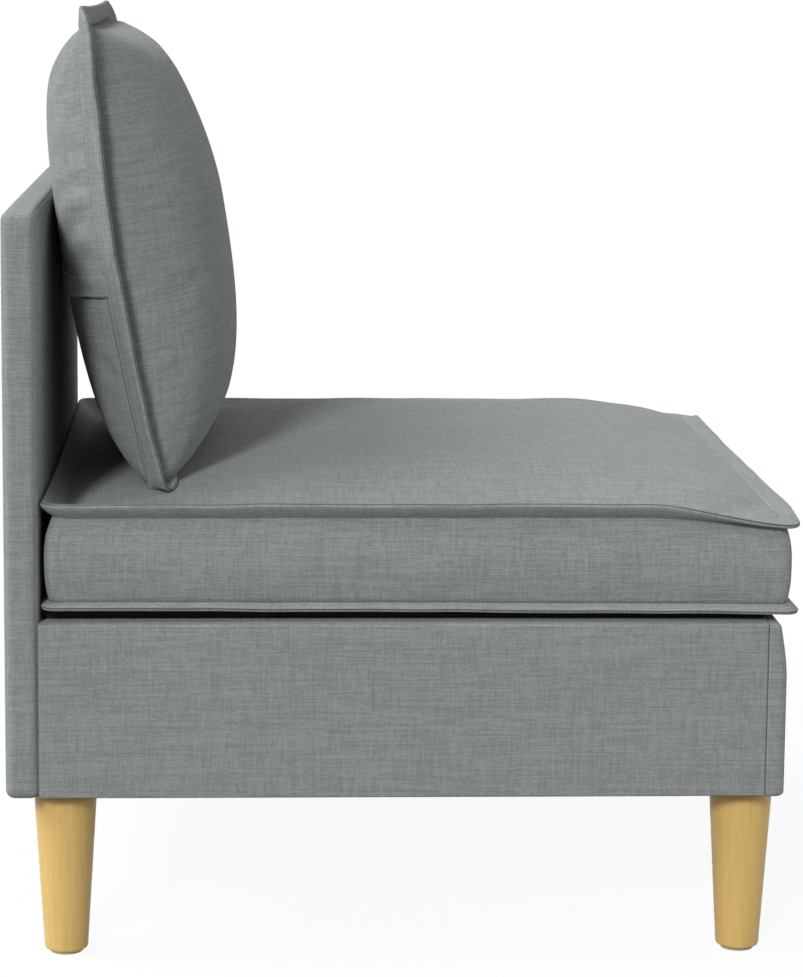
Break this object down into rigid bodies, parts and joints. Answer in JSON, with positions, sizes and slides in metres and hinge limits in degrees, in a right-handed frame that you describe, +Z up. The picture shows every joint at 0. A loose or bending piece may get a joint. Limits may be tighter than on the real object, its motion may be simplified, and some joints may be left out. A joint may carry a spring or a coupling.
{
  "type": "storage sofa",
  "caption": "Armless single storage sofa: upholstered box base on tapered wooden legs, lift-out lid, loose flanged seat cushion and leaning back cushion.",
  "frame": {"origin": "on the floor, under the middle of the whole sofa's bounding box", "axes": "+Z up; +X to the right as seen from the front; the seat's front faces -Y and the backrest is at +Y"},
  "size_m": [0.64, 0.7, 0.8483],
  "materials": {
    "upholstery": "matte",
    "leg_wood": "satin",
    "plywood": "matte",
    "timber": "matte",
    "foam": "matte",
    "fibre": "matte",
    "lining": "matte",
    "webbing": "matte",
    "zip": "satin",
    "steel": "satin",
    "glide": "matte"
  },
  "bodies": {
    "frame": {"backrest_cover": "upholstery", "left_side_cover": "upholstery", "right_side_cover": "upholstery", "front_cover": "upholstery", "rear_left_leg": "leg_wood", "rear_right_leg": "leg_wood", "front_left_leg": "leg_wood", "front_right_leg": "leg_wood", "backrest_board": "plywood", "left_side_board": "plywood", "right_side_board": "plywood", "front_board": "plywood", "bottom_board": "plywood", "rear_left_post": "timber", "rear_right_post": "timber", "front_left_post": "timber", "front_right_post": "timber", "left_lid_cleat": "timber", "right_lid_cleat": "timber", "front_lid_cleat": "timber", "rear_lid_cleat": "timber", "left_bottom_cleat": "timber", "right_bottom_cleat": "timber", "front_bottom_cleat": "timber", "rear_bottom_cleat": "timber", "backrest_padding": "foam", "left_side_padding": "foam", "right_side_padding": "foam", "front_padding": "foam", "dust_cover": "lining", "leg_bolts": "steel", "leg_inserts": "steel", "panel_bolts": "steel", "panel_washers": "steel", "panel_inserts": "steel", "post_screws": "steel", "cleat_screws": "steel", "bottom_board_screws": "steel", "leg_glides": "glide"},
    "lid": {"lid_board": "plywood", "lid_batten_left": "timber", "lid_batten_right": "timber", "lid_cover": "lining", "lid_pull_tab": "webbing", "lid_batten_screws": "steel"},
    "seat_cushion": {"seat_cushion_cover": "upholstery", "seat_cushion_foam": "foam", "seat_cushion_zip": "zip"},
    "back_cushion": {"back_cushion_cover": "upholstery", "back_cushion_zip_flap": "upholstery", "back_cushion_filling": "fibre", "back_cushion_zip": "zip"}
  },
  "joints": [
    {"name": "lid_lift", "type": "slide", "parent": "frame", "child": "lid", "axis": [0, 0, 1], "range_m": [0, 0.25]},
    {"name": "seat_cushion_lift", "type": "slide", "parent": "lid", "child": "seat_cushion", "axis": [0, 0, 1], "range_m": [0, 0.3]},
    {"name": "back_cushion_lift", "type": "slide", "parent": "seat_cushion", "child": "back_cushion", "axis": [0, 0, 1], "range_m": [0, 0.3]}
  ]
}
